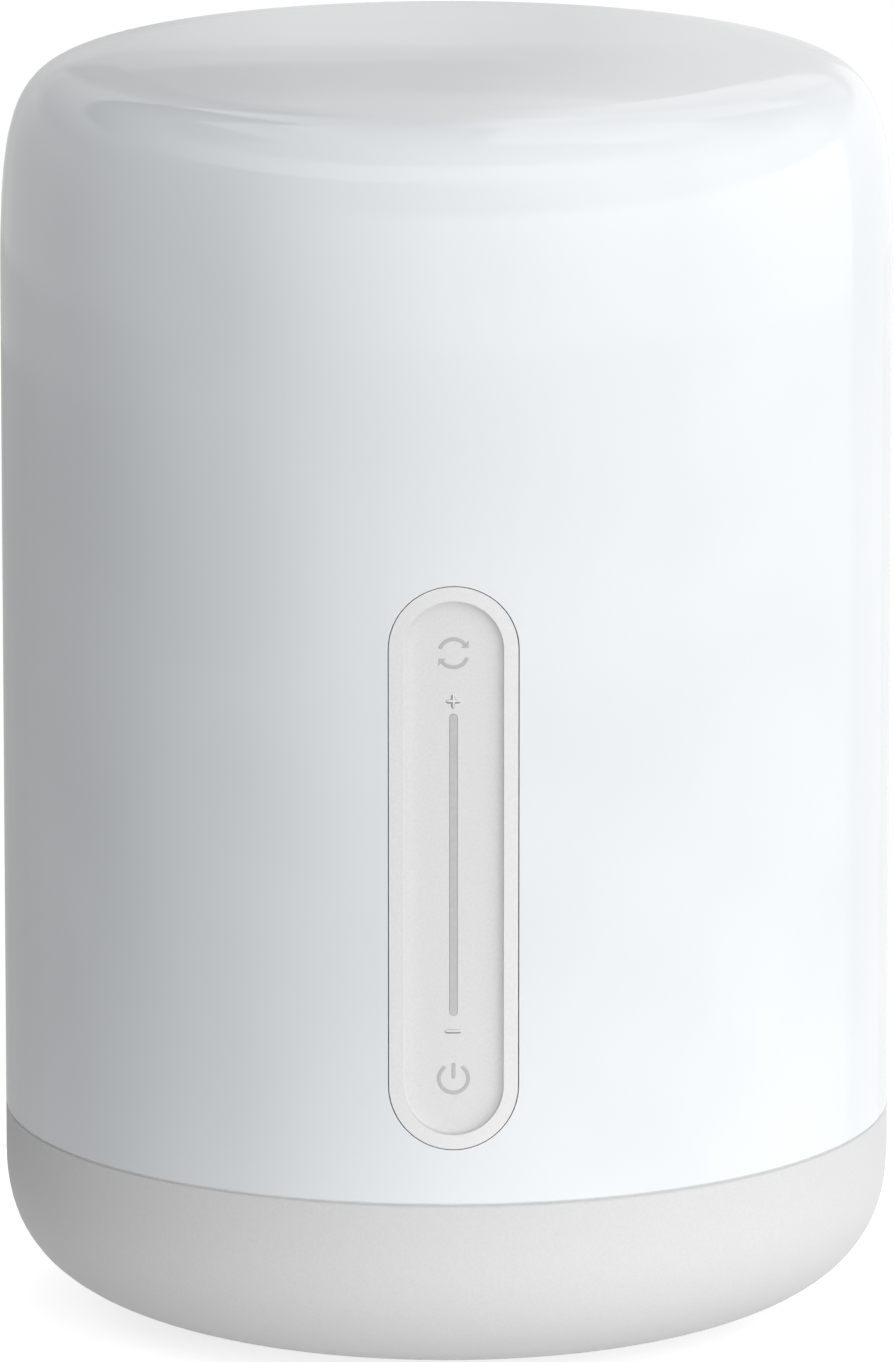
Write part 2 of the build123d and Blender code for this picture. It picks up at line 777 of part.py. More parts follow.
def make_touch_back_cover():
    """Light-tight cover behind the touch board, with a rim that clamps it and a slot for the ribbon."""
    land_margin = -pocket_wall - touch_board_clearance
    cover = strip_bar(flange_margin, cover_back, panel_back)
    cover += strip_bar(land_margin, panel_back, touch_board_back)
    cover -= strip_bar(land_margin - cover_land_width, panel_back, touch_board_back)
    slot_length = ribbon_step + 2 * ribbon_clearance
    slot_centre = ribbon_start - ribbon_drop - ribbon_step / 2
    cover -= front_block(ribbon_width + ribbon_clearance, slot_length, slot_centre, cover_back, panel_back)
    for x, z in touch_screw_places:
        hole = Pos(x, z) * Circle(small_screw_radius + hole_clearance)
        cover -= extrude(Plane.XZ.offset(cover_back) * hole, cover_thickness)
    return cover


def make_touch_screws():
    """Small screws through the back cover into the strip."""
    length = cover_thickness + touch_screw_bite
    one = screw(small_screw_radius, length, small_screw_head_radius, small_screw_head_height)
    return group(Pos(x, -cover_back, z) * Rot(90, 0, 0) * one for x, z in touch_screw_places)


def make_touch_cable():
    """Flat ribbon from the touch board down through the deck to the main board."""
    route = FilletPolyline(
        (-ribbon_front, ribbon_start),
        (-ribbon_front, ribbon_start - ribbon_drop),
        (-ribbon_back, ribbon_start - ribbon_drop - ribbon_step),
        (-ribbon_back, deck_underside - ribbon_bend),
        (-touch_header_distance, board_top + touch_header_height + ribbon_bend),
        (-touch_header_distance, board_top + touch_header_height),
        radius=ribbon_bend / 2,
    )
    section = trace(route, ribbon_thickness)
    return extrude(Plane.YZ.offset(-ribbon_width / 2) * section, ribbon_width)


nodes = {
    "shade": make_shade,
    "base_shell": make_base_shell,
    "foot_ring": make_foot_ring,
    "base_screws": make_base_screws,
    "ballast_plate": make_ballast_plate,
    "deck": make_deck,
    "main_board": make_main_board,
    "main_board_screws": make_main_board_screws,
    "radio_module": make_radio_module,
    "radio_shield": make_radio_shield,
    "driver_chips": make_driver_chips,
    "power_inductors": make_power_inductors,
    "filter_capacitors": make_filter_capacitors,
    "dc_jack": make_dc_jack,
    "dc_jack_pin": make_dc_jack_pin,
    "led_header": make_led_header,
    "touch_header": make_touch_header,
    "heat_sink": make_heat_sink,
    "heat_sink_screws": make_heat_sink_screws,
    "thermal_pad": make_thermal_pad,
    "led_board": make_led_board,
    "led_board_screws": make_led_board_screws,
    "white_leds": make_white_leds,
    "colour_leds": make_colour_leds,
    "led_socket": make_led_socket,
    "led_cable": make_led_cable,
    "mixing_dome": make_mixing_dome,
    "touch_panel": make_touch_panel,
    "slider_light_guide": make_slider_light_guide,
    "touch_tape": make_touch_tape,
    "touch_board": make_touch_board,
    "touch_leds": make_touch_leds,
    "touch_chip": make_touch_chip,
    "touch_socket": make_touch_socket,
    "touch_back_cover": make_touch_back_cover,
    "touch_screws": make_touch_screws,
    "touch_cable": make_touch_cable,
}

os.makedirs("parts", exist_ok=True)
for name, make in nodes.items():
    export_step(make(), f"parts/{name}.step")
print(f"{len(nodes)} nodes written")
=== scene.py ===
# %% [markdown]
# # A bedside lamp with a touch strip
# The lamp is a drum of glossy milky plastic on a matte base. A dished touch strip lies in its front
# wall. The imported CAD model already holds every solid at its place, so it comes in first as a fixed
# frame. The rest of this lesson gives each solid its finish, adds the marks on the strip and the seal
# in the seam, and sets up the photographer's camera and light.

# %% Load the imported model
from math import cos, pi, radians, sin

import bpy
import numpy as np
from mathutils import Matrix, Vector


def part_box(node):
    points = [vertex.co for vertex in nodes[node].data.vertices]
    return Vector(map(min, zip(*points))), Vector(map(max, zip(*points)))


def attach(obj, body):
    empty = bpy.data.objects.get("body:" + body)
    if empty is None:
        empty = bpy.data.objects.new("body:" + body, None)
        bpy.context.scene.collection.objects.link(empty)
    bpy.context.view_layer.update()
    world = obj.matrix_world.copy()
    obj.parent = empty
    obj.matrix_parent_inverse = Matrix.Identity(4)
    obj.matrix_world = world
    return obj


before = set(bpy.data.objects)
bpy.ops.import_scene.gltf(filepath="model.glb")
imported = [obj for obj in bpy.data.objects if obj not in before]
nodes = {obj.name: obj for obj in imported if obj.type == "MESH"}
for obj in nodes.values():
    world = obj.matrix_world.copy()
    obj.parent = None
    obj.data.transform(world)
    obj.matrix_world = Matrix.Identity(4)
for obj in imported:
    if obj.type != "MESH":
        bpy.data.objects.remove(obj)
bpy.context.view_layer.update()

# %% [markdown]
# ## Sizes
# Blender works in metres, but the small sizes of a lamp read better in millimetres, so one factor turns
# them. The lamp's radius, the touch face and the strip's middle come from the frame itself, so that new
# pieces follow the CAD if it changes.

# %% Sizes that the pieces share
mm = 0.001
lamp_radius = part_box("shade")[1].x
touch_face_radius = -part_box("slider_light_guide")[0].y
strip_middle = (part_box("touch_panel")[0].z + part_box("touch_panel")[1].z) / 2
print("lamp radius", round(lamp_radius / mm, 3), "touch face radius", round(touch_face_radius / mm, 3),
      "strip middle", round(strip_middle / mm, 3))

# %% [markdown]
# ## Colours and nodes
# A colour is given as an sRGB hex value, but Blender mixes light in linear values. One function
# converts it. Materials are trees of nodes. They could be drawn by hand in the editor, but a script can
# be read and rerun, so one small function adds a node, sets its sockets and makes its links. Another one
# gives a colour ramp its stops.


# %% Functions for colours, nodes and ramps
def linear(hex_colour):
    """sRGB hex to linear RGBA. A channel c is c / 12.92 below 0.04045, and ((c + 0.055) / 1.055) ** 2.4
    above that."""
    c = np.array([int(hex_colour[i : i + 2], 16) for i in (0, 2, 4)]) / 255
    c = np.where(c < 0.04045, c / 12.92, ((c + 0.055) / 1.055) ** 2.4)
    return (*c.tolist(), 1.0)


def add(tree, kind, sockets=None, **settings):
    """Adds one node. A socket's value is set, or linked where it is another node's output. Settings are
    properties."""
    node = tree.nodes.new(kind)
    for name, value in settings.items():
        setattr(node, name, value)
    for name, value in (sockets or {}).items():
        if isinstance(value, bpy.types.NodeSocket):
            tree.links.new(value, node.inputs[name])
        else:
            node.inputs[name].default_value = value
    return node


def set_stops(ramp, stops):
    """Gives a colour ramp its stops, which are pairs of place, rising from 0 to 1, and linear
    colour."""
    elements = ramp.color_ramp.elements
    while len(elements) < len(stops):
        elements.new(1.0)
    for element, (place, colour) in zip(elements, stops):
        element.position = place
        element.color = colour


print("white", linear("FFFFFF")[0], "mid grey", round(linear("808080")[0], 3))

# %% [markdown]
# ## A moulded or metal surface
# Nearly all pieces of the lamp are moulded plastic, rubber or sheet metal. What such a surface shows is
# a slight drift of colour, a drift of gloss, and a fine relief from its tool. All three can come from
# one fractal noise, at the size that the tool's grain has in millimetres. A photograph of a real grain
# would need an image file, so noise is used. It seldom leaves the middle of its range, so that middle
# is stretched over the full run.

# %% A surface made from one noise
noise_low, noise_high = 0.3, 0.7


def surface(name, pale, deep, grain, rough, relief=0.0, stretch=(1, 1, 1), detail=3, **sockets):
    """A Principled material. Noise of the given grain (mm) runs the colour from deep to pale, the
    roughness from rough[0] to rough[1], and the height by relief (mm). Stretch below 1 draws the grain
    out along that axis. The other sockets keep one value all over, and their names have _ for a
    space."""
    material = bpy.data.materials.new(name)
    material.use_nodes = True
    tree = material.node_tree
    shader = tree.nodes["Principled BSDF"]
    place = add(tree, "ShaderNodeTexCoord").outputs["Object"]
    place = add(tree, "ShaderNodeMapping", {"Vector": place, "Scale": stretch}).outputs["Vector"]
    noise = add(tree, "ShaderNodeTexNoise", {"Vector": place, "Scale": 1 / (grain * mm), "Detail": detail})
    tint = add(tree, "ShaderNodeValToRGB", {"Fac": noise.outputs["Fac"]})
    set_stops(tint, [(noise_low, linear(deep)), (noise_high, linear(pale))])
    gloss = add(tree, "ShaderNodeMapRange", {"Value": noise.outputs["Fac"],
                                             "From Min": noise_low, "From Max": noise_high,
                                             "To Min": rough[0], "To Max": rough[1]})
    tree.links.new(tint.outputs["Color"], shader.inputs["Base Color"])
    tree.links.new(gloss.outputs["Result"], shader.inputs["Roughness"])
    if relief:
        bump = add(tree, "ShaderNodeBump", {"Height": noise.outputs["Fac"], "Distance": relief * mm})
        tree.links.new(bump.outputs["Normal"], shader.inputs["Normal"])
    for socket, value in sockets.items():
        shader.inputs[socket.replace("_", " ")].default_value = value
    return material


def dress(material, *names):
    """Puts the material into the slot of each named CAD node."""
    for name in names:
        nodes[name].material_slots[0].material = material
    print(material.name, "on", ", ".join(names))


print("noise from", noise_low, "to", noise_high, "runs over the whole range")

# %% [markdown]
# ## The shade: opal acrylic, moulded and polished
# The shade is opal acrylic: clear resin with a white filler, moulded in a polished tool. The eye sees a
# bluish white with sharp soft-box reflections on top of a diffuse body, and a faint waviness where the
# wall shrank. Acrylic's IOR is 1.49. The waves are about 30 mm long and a fiftieth of a millimetre
# high, so only the reflections show them. Subsurface scattering could let the light into the wall, but
# unlit opal looks much the same as a diffuse body under a clear coat, which renders with less noise.

# %% Finish of the shade
opal_acrylic = surface("opal_acrylic_polished", "EDF1F4", "E9EDF0", 30, (0.06, 0.09), relief=0.02, detail=1,
                       IOR=1.49, Coat_Weight=0.6, Coat_Roughness=0.03)
dress(opal_acrylic, "shade")

# %% [markdown]
# ## The base and the strip: white ABS from a spark-textured tool
# ABS takes the tool's texture: spark erosion leaves a sandy grain of about 0.1 mm, which scatters the
# gloss, so that the base looks matte and neutral beside the bluish shade. That grain is finer than a
# pixel here, so it is drawn at 0.4 mm and a little more. The strip is the same plastic. Its touch face
# is painted a little greyer than the bezel, and the dish's wall greyer still: this is painted shade,
# which darkens the dish and dims the wall that the light from the right would make bright. They could be
# three materials on chosen faces, but the strip is one moulding, so one material tells face, wall and
# bezel apart by their distance from the lamp's axis.


# %% Finishes of the base and the strip
# Paints shade into the colour by the distance from the lamp's axis.
def painted_shade_by_distance(material, stops):
    """Multiplies the colour by a tone that follows the distance from the lamp's axis, sqrt(x^2 + y^2).
    Stops are pairs of distance and tone, from the axis outwards, and the tone changes evenly between
    them."""
    tree = material.node_tree
    shader = tree.nodes["Principled BSDF"]
    colour = shader.inputs["Base Color"].links[0].from_socket
    place = add(tree, "ShaderNodeTexCoord").outputs["Object"]
    level_place = add(tree, "ShaderNodeVectorMath", {0: place, 1: (1, 1, 0)}, operation="MULTIPLY")
    distance = add(tree, "ShaderNodeVectorMath", {0: level_place.outputs["Vector"]}, operation="LENGTH")
    near, far = stops[0][0], stops[-1][0]
    share = add(tree, "ShaderNodeMapRange", {"Value": distance.outputs["Value"],
                                             "From Min": near, "From Max": far})
    ramp = add(tree, "ShaderNodeValToRGB", {"Fac": share.outputs["Result"]})
    set_stops(ramp, [((reach - near) / (far - near), (tone, tone, tone, 1)) for reach, tone in stops])
    grey = add(tree, "ShaderNodeMixRGB", {"Fac": 1.0, "Color1": colour, "Color2": ramp.outputs["Color"]},
               blend_type="MULTIPLY")
    tree.links.new(grey.outputs["Color"], shader.inputs["Base Color"])


base_abs = surface("white_abs_spark_textured", "DEDEDE", "D9D9D9", 0.45, (0.50, 0.60), relief=0.012,
                   IOR=1.53)
strip_abs = surface("white_abs_fine_grained", "F1F1F1", "EBEBEB", 0.4, (0.52, 0.62), relief=0.02,
                    IOR=1.53)
# Painted shade in the touch dish: the face is a little darker than the bezel, and the wall darker still.
face_painted_shade, wall_painted_shade, bezel_tone = 0.935, 0.84, 1.0
face_end, wall_start = touch_face_radius + 0.02 * mm, touch_face_radius + 0.25 * mm
wall_end, bezel_start = lamp_radius - 0.3 * mm, lamp_radius - 0.1 * mm
painted_shade_by_distance(strip_abs, [(face_end, face_painted_shade), (wall_start, wall_painted_shade),
                              (wall_end, wall_painted_shade), (bezel_start, bezel_tone)])
dress(base_abs, "base_shell")
dress(strip_abs, "touch_panel")

# %% [markdown]
# ## The slider's light guide: grey polycarbonate
# The bar of the slider is a light guide moulded in smoky polycarbonate. Unlit, it is a satin grey line.
# It could be a printed line, but a guide lets the diodes behind it show how far the lamp is turned up.
# Its IOR is 1.58.

# %% Finish of the light guide
smoky_polycarbonate = surface("smoky_polycarbonate_satin", "C8C8C8", "C1C1C1", 0.8, (0.38, 0.46),
                              relief=0.004, IOR=1.58)
dress(smoky_polycarbonate, "slider_light_guide")

# %% [markdown]
# ## Rubber, foam and film
# Silicone is moulded with a dull skin that picks up a little dust. Foam tape shows its cut cells. PVC
# sheath is smooth and half matt, and ribbon film is glossy. The cells could be a texture of their own,
# but these pieces are small or hidden, so each takes the same noise at its own grain.

# %% Finishes of the soft pieces
dress(surface("grey_silicone_moulded", "CFCFCF", "C2C2C2", 0.6, (0.60, 0.75), relief=0.02, IOR=1.41),
      "foot_ring")
dress(surface("blue_grey_silicone_pad", "939BA3", "858D95", 1.2, (0.65, 0.8), relief=0.02, IOR=1.41),
      "thermal_pad")
dress(surface("white_pe_foam_cut", "F0F0F0", "DADADA", 0.5, (0.7, 0.9), relief=0.06, IOR=1.45),
      "touch_tape")
dress(surface("white_pvc_sheath", "E8E8E6", "DEDEDC", 1.5, (0.35, 0.5), relief=0.01, IOR=1.54),
      "led_cable")
dress(surface("white_polyester_film", "EFEFEF", "E4E4E4", 2.0, (0.25, 0.4), IOR=1.6),
      "touch_cable")

# %% [markdown]
# ## Mouldings inside
# Inner mouldings come from plain tools, so they are smoother than the base and show flow marks a few
# millimetres long. The deck is white so that no light is lost, the cover is black so that none leaks,
# and the connectors are bare nylon. One plain white would do for a closed lamp, but a lamp that is taken
# apart should show what each piece is made of.

# %% Finishes of the inner mouldings
dress(surface("white_abs_plain_tool", "EDEDEB", "E6E6E3", 6, (0.32, 0.45), relief=0.01, IOR=1.53),
      "deck")
dress(surface("opal_polycarbonate_satin", "F2F2EF", "ECECE8", 8, (0.3, 0.38), relief=0.01, IOR=1.58),
      "mixing_dome")
dress(surface("black_abs_plain_tool", "1A1A1A", "131313", 2, (0.4, 0.55), relief=0.01, IOR=1.53),
      "touch_back_cover")
dress(surface("black_pbt_moulded", "171717", "101010", 1.5, (0.35, 0.5), relief=0.008, IOR=1.55),
      "dc_jack")
dress(surface("bare_nylon_moulded", "EAE6D6", "DED9C6", 1.5, (0.35, 0.5), relief=0.008, IOR=1.53),
      "led_header", "led_socket", "touch_header", "touch_socket")

# %% [markdown]
# ## Metal pieces
# Screws are cold-headed and zinc plated, with a fine cloudy shine. The ballast is rolled plate, so its
# grain is drawn out one way. The heat sink is die cast and sandy. The capacitor cans are drawn, the
# shield is tinned, the pin is plated. A grain could come from an anisotropic shader, but that needs a
# direction at every point, and a stretched noise doesn't. A metal keeps the default IOR, because its
# colour says what it reflects.

# %% Finishes of the metal pieces
dress(surface("zinc_plated_steel_headed", "CDD0D4", "B4B8BD", 0.5, (0.25, 0.42), relief=0.004,
              Metallic=1.0),
      "base_screws", "main_board_screws", "heat_sink_screws", "led_board_screws", "touch_screws")
dress(surface("zinc_plated_steel_rolled", "B4B6B9", "9C9FA3", 0.4, (0.3, 0.5), relief=0.006,
              stretch=(1, 0.05, 1), Metallic=1.0), "ballast_plate")
dress(surface("die_cast_aluminium", "CFD1D3", "B9BBBE", 0.5, (0.4, 0.6), relief=0.03, Metallic=1.0),
      "heat_sink")
dress(surface("drawn_aluminium_can", "D6D8DB", "C6C9CC", 0.3, (0.2, 0.32), relief=0.003,
              stretch=(1, 1, 0.05), Metallic=1.0), "filter_capacitors")
dress(surface("tinned_steel_sheet", "D4D4D2", "C2C2C0", 1.2, (0.25, 0.4), relief=0.004, Metallic=1.0),
      "radio_shield")
dress(surface("nickel_plated_brass_turned", "E0D9BE", "CFC6A4", 0.3, (0.15, 0.28), relief=0.002,
              stretch=(1, 0.1, 1), Metallic=1.0), "dc_jack_pin")

# %% [markdown]
# ## Boards and parts on them
# A circuit board is glass cloth in epoxy under solder mask. The cloth's 0.5 mm threads show as a faint
# relief. Chips are black epoxy, inductors pressed ferrite powder. White diodes carry a yellow phosphor,
# coloured ones a clear resin. Tracks could be drawn on the boards, but a closed lamp never shows them, so
# the mask stays plain.

# %% Finishes of the boards
dress(surface("green_solder_mask", "1B5A33", "154A29", 0.5, (0.25, 0.38), relief=0.006, IOR=1.55),
      "main_board", "radio_module", "touch_board")
dress(surface("white_solder_mask_on_aluminium", "F0F0EE", "E6E6E3", 1.0, (0.3, 0.45), relief=0.004,
              IOR=1.55), "led_board")
dress(surface("black_epoxy_moulded", "1C1C1D", "131314", 0.4, (0.45, 0.6), relief=0.008, IOR=1.57),
      "driver_chips", "touch_chip")
dress(surface("pressed_ferrite_powder", "3A3A3C", "29292B", 0.4, (0.5, 0.7), relief=0.015, IOR=1.6),
      "power_inductors")
dress(surface("yellow_phosphor_in_silicone", "F2E08A", "E6CF6A", 0.4, (0.3, 0.4), relief=0.004, IOR=1.41),
      "white_leds")
dress(surface("clear_resin_on_white_cup", "EDEDE8", "DCDCD6", 0.4, (0.15, 0.25), relief=0.003, IOR=1.5),
      "colour_leds", "touch_leds")

# %% [markdown]
# ## The marks on the strip
# Each mark is a stroke: a thin rib that follows a line drawn on the touch face. It could be text or a
# flat curve, but a rib is a surface that the export keeps. Its path is drawn flat, in millimetres to the
# right of the strip's middle and above it, and then wrapped round the lamp's axis. The section is an
# ellipse, half of it sunk in the face, so that the rib is closed and stands on what carries it. All
# surfaces here are grids of points, and one helper joins neighbours to quads.


# %% Quads of a grid, and a rib along a path
def joined(rows, columns, close_rows=False, close_columns=False):
    """The quads between neighbours in a grid whose points are numbered row by row. Closing joins the
    last row, or the last column, to the first."""
    number = np.arange(rows * columns).reshape(rows, columns)
    if close_rows:
        number = np.concatenate([number, number[:1]])
    if close_columns:
        number = np.concatenate([number, number[:, :1]], axis=1)
    quads = np.stack([number[:-1, :-1], number[1:, :-1], number[1:, 1:], number[:-1, 1:]], axis=-1)
    return quads.reshape(-1, 4).tolist()


rib_corners = 16


def rib(points, width, height):
    """A closed rib on the touch face. Points (n, 2) are mm to the right of the strip's middle and above
    it, width is its full width at each point, height how far it stands out, both in mm. Across the path,
    the section at angle t is (width / 2 * cos t, height * sin t). The flat point (u, v) at height h lies
    on the touch face's cylinder at the angle a = u / radius, so that x = (radius + h) sin a,
    y = -(radius + h) cos a, and z is the strip's middle plus v."""
    points = np.asarray(points, float)
    count = len(points)
    width = np.broadcast_to(np.asarray(width, float), count)
    along = np.gradient(points, axis=0)
    along /= np.linalg.norm(along, axis=1, keepdims=True)
    across = np.stack([along[:, 1], -along[:, 0]], axis=1)
    turn = np.linspace(0, 2 * pi, rib_corners, endpoint=False)
    flat = points[:, None] + across[:, None] * (width[:, None, None] / 2) * np.cos(turn)[None, :, None]
    radius = touch_face_radius + height * mm * np.sin(turn)[None, :] * np.ones((count, 1))
    angle = flat[..., 0] * mm / touch_face_radius
    upward = strip_middle + flat[..., 1] * mm
    grid = np.stack([radius * np.sin(angle), -radius * np.cos(angle), upward], axis=-1)
    last = (count - 1) * rib_corners
    ends = [list(range(rib_corners)), list(range(last, last + rib_corners))[::-1]]
    return grid.reshape(-1, 3), joined(count, rib_corners, close_columns=True) + ends


print("quads in a grid of 3 by 4 points", len(joined(3, 4)))

# %% [markdown]
# ## Ends and pieces
# A printed or moulded stroke ends in a half circle. Several strokes make one mark, so a second helper
# puts closed shapes together as one object. It sits at the origin, as the CAD nodes do, and rides on the
# lamp's only body.

# %% Round ends, and one object from several shapes
tip_angle, cap_rings = 0.12, 7


def round_ended(points, width):
    """The path with a half circle's widths at both ends: at a distance d inside the end, half the width
    is sqrt(w^2/4 - (w/2 - d)^2). The rings lie at equal angles of that half circle, the first one just
    inside its tip."""
    points = np.asarray(points, float)
    step = (1 - np.cos(np.linspace(tip_angle, pi / 2, cap_rings)))[:-1]
    start = points[0] - (points[1] - points[0]) / np.linalg.norm(points[1] - points[0]) * width / 2
    end = points[-1] - (points[-2] - points[-1]) / np.linalg.norm(points[-2] - points[-1]) * width / 2
    start_cap = start + (points[0] - start) * step[:, None]
    end_cap = end + (points[-1] - end) * step[:, None]
    half = np.sqrt(1 - (1 - step) ** 2)
    widths = width * np.concatenate([half, np.ones(len(points)), half[::-1]])
    return np.concatenate([start_cap, points, end_cap[::-1]]), widths


def piece(name, parts, material):
    """One object from several closed shapes, at the origin, with smooth faces, riding on the lamp."""
    mesh = bpy.data.meshes.new(name)
    offsets = np.cumsum([0] + [len(v) for v, _ in parts])
    vertices = np.concatenate([v for v, _ in parts])
    faces = [[i + offset for i in face] for (_, shape), offset in zip(parts, offsets) for face in shape]
    mesh.from_pydata(vertices.tolist(), [], faces)
    mesh.shade_smooth()
    mesh.materials.append(material)
    made = bpy.data.objects.new(name, mesh)
    bpy.context.scene.collection.objects.link(made)
    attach(made, "root")
    print(name, len(vertices), "vertices", len(faces), "faces")


print("rings in a round end", cap_rings - 1)

# %% [markdown]
# ## Printed keys: cycle arrows and power symbol
# The two keys are pad printed in grey ink, a film of a few hundredths of a millimetre with a soft edge.
# The cycle key is two arcs that chase each other, each with a three-cornered head. The power key is a
# ring open at the top and a bar. They could be a picture laid on the strip, but a shape stays sharp at
# any distance and needs no image file. All sizes are in millimetres from the key's middle.


# %% Shapes of the keys
def arc(radius, start, end, count):
    """Points at equal angles on a circle round the key's middle, angles in degrees from the right."""
    a = np.radians(np.linspace(start, end, count))
    return radius * np.stack([np.cos(a), np.sin(a)], axis=1)


head_start, head_rings = 0.02, 10


def head(corner, reach):
    """A three-cornered arrow head: it widens from nothing at its corner to the full width at its long
    side."""
    corner, reach = np.asarray(corner, float), np.asarray(reach, float)
    share = np.linspace(head_start, 1, head_rings)
    return corner + (reach - corner) * share[:, None], 2 * np.linalg.norm(reach - corner) * share


def lifted(path, width, height):
    """A path and its widths, moved to the key's height above the strip's middle."""
    return path + np.array([0, height]), width


print("a quarter turn from the right ends at", arc(1, 0, 90, 3)[-1].round(3))

# %% [markdown]
# ## The keys in ink
# Both keys are printed with one stroke width. The second arrow is the first one turned by half a turn,
# so the same path is used with both signs. The arrows end square at their tails, and the ring and the
# bar of the power key end round.

# %% The two keys
ink = surface("grey_pad_printing_ink", "C6C6C6", "BDBDBD", 0.5, (0.45, 0.55), relief=0.004, IOR=1.5)
ink_height, key_stroke = 0.04, 0.62

cycle_height = 33.5
cycle_radius, cycle_start, cycle_end, cycle_points = 2.19, 161, 38, 40
head_corner, head_reach = (2.32, 0.82), (1.74, 1.42)
arrow = arc(cycle_radius, cycle_start, cycle_end, cycle_points)
tip, tip_width = head(head_corner, head_reach)
both_ways = (1, -1)
cycle_parts = [rib(*lifted(way * arrow, key_stroke, cycle_height), ink_height) for way in both_ways]
cycle_parts += [rib(*lifted(way * tip, tip_width, cycle_height), ink_height) for way in both_ways]
piece("cycle_key_mark", cycle_parts, ink)

power_height = -33.25
power_radius, power_start, power_end, power_points = 2.24, 131, 409, 60
power_ring = arc(power_radius, power_start, power_end, power_points)
power_bar = [(0, 0.25), (0, 1.2), (0, 2.2)]
power_parts = [rib(*lifted(*round_ended(line, key_stroke), power_height), ink_height)
               for line in (power_ring, power_bar)]
piece("power_key_mark", power_parts, ink)

# %% [markdown]
# ## Plus and minus
# The plus and the minus are raised, so that a finger finds the slider's ends. Each is a narrow rib of
# white plastic, paler than the strip, on a wider, darker stroke. The dark stroke is a painted shadow: it
# lies a little lower and to the left, so the sign looks lit from the right, and the paler rib is a painted
# highlight on its real relief. At s from -1 to 1 along a bar, its width is sqrt(1.02 - s^6) of the full
# width and at most all of it, which rounds the ends.

# %% Plus and minus
# The rib's paler white is a painted highlight, and the dark grey under it is a painted shadow.
rib_abs_painted_highlight = surface("white_abs_rib_painted_highlight", "FAFAFA", "F4F4F4", 0.4, (0.35, 0.45), relief=0.01, IOR=1.53)
painted_shadow_grey = surface("painted_shadow_grey_under_signs", "A6A6A6", "9C9C9C", 0.5, (0.45, 0.55), relief=0.004,
                   IOR=1.5)
plus_height, minus_height = 26.05, -25.75
plus_reach, minus_reach = 1.1, 1.28
shadow_shift = np.array([-0.08, -0.1])
shadow_width, rib_width, rib_height = 0.66, 0.3, 0.26
bar_points, end_fullness, end_power = 21, 1.02, 6
along_bar = np.linspace(-1, 1, bar_points)
bar = np.stack([along_bar, np.zeros(bar_points)], axis=1)
taper = np.sqrt(np.clip(end_fullness - along_bar**end_power, 0, 1))
plus_bars, minus_bars = (plus_reach * bar, plus_reach * bar[:, ::-1]), (minus_reach * bar,)
for name, bars, height in (("plus", plus_bars, plus_height), ("minus", minus_bars, minus_height)):
    # Each _print piece is the sign's painted shadow, shifted down and to the left.
    strokes = [rib(*lifted(path + shadow_shift, shadow_width * taper, height), ink_height) for path in bars]
    piece(name + "_print", strokes, painted_shadow_grey)
    ribs = [rib(*lifted(path, rib_width * taper, height), rib_height) for path in bars]
    piece(name + "_mark", ribs, rib_abs_painted_highlight)

# %% [markdown]
# ## The seal in the seam
# A bright lamp would shine through the seam between shade and base, so a thin ring of white elastomer
# closes it from inside. Only its edge shows, as the grey bottom of the seam. It could be a torus, but
# its section has to be flat, so a rounded rectangle is carried once round the lamp's axis.

# %% Seam seal
seal_turns, seal_corners, seal_roundness = 256, 32, 0.25


def hoop(inner, outer, low, high):
    """A closed ring. With c and s the cosine and sine of the section's angle, each with its sign and to
    the power of the roundness, the section is (middle radius + c * half its depth, middle height + s *
    half its height), turned round the axis."""
    t = np.linspace(0, 2 * pi, seal_corners, endpoint=False)
    c, s = (np.sign(w) * np.abs(w) ** seal_roundness for w in (np.cos(t), np.sin(t)))
    radius = (inner + outer) / 2 + c * (outer - inner) / 2
    height = (low + high) / 2 + s * (high - low) / 2
    turn = np.linspace(0, 2 * pi, seal_turns, endpoint=False)[:, None]
    grid = np.stack([radius * np.cos(turn), radius * np.sin(turn), height + 0 * turn], axis=-1)
    return grid.reshape(-1, 3), joined(seal_turns, seal_corners, close_rows=True, close_columns=True)


seam_bottom, seam_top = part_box("base_shell")[1].z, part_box("shade")[0].z
seal_depth, seal_width = 0.3 * mm, 2.0 * mm
seal_outer = lamp_radius - seal_depth
seal_inner = seal_outer - seal_width
seal_elastomer = surface("white_elastomer_moulded", "DCDCDC", "D4D4D4", 0.6, (0.55, 0.7), relief=0.01,
                         IOR=1.5)
piece("seam_seal", [hoop(seal_inner, seal_outer, seam_bottom, seam_top)], seal_elastomer)

# %% [markdown]
# ## The camera
# The photograph was fitted with the lamp's outline: a long lens two metres away, twelve degrees above
# the table, almost straight in front. A small shift puts the lamp where it is in the frame. The camera
# could be turned by a constraint that tracks the lamp, but its angles are known, so they are set.

# %% Camera
camera_azimuth, camera_elevation, camera_distance = radians(-0.9), radians(12.15), 2.0228
aim_height = 100 * mm
lens_length, sensor_width = 338.4, 36.0
shift_right, shift_up = 0.00037, 0.00106
camera_data = bpy.data.cameras.new("long_lens")
camera_data.lens, camera_data.sensor_width = lens_length, sensor_width
camera_data.shift_x, camera_data.shift_y = shift_right, shift_up
camera = bpy.data.objects.new("photo_camera", camera_data)
bpy.context.scene.collection.objects.link(camera)
camera.location = (camera_distance * sin(camera_azimuth) * cos(camera_elevation),
                   -camera_distance * cos(camera_azimuth) * cos(camera_elevation),
                   aim_height + camera_distance * sin(camera_elevation))
camera.rotation_euler = (pi / 2 - camera_elevation, 0, camera_azimuth)
bpy.context.scene.camera = camera
print("camera at", [round(x, 3) for x in camera.location])

# %% [markdown]
# ## Sheets for the studio
# The table and the light tent are plain sheets: a grid of points over two parameters. The helper turns
# such a grid into an object of the stage, which isn't part of the lamp. The table could be a disc from
# the menu, but a grid keeps one way of making all surfaces.


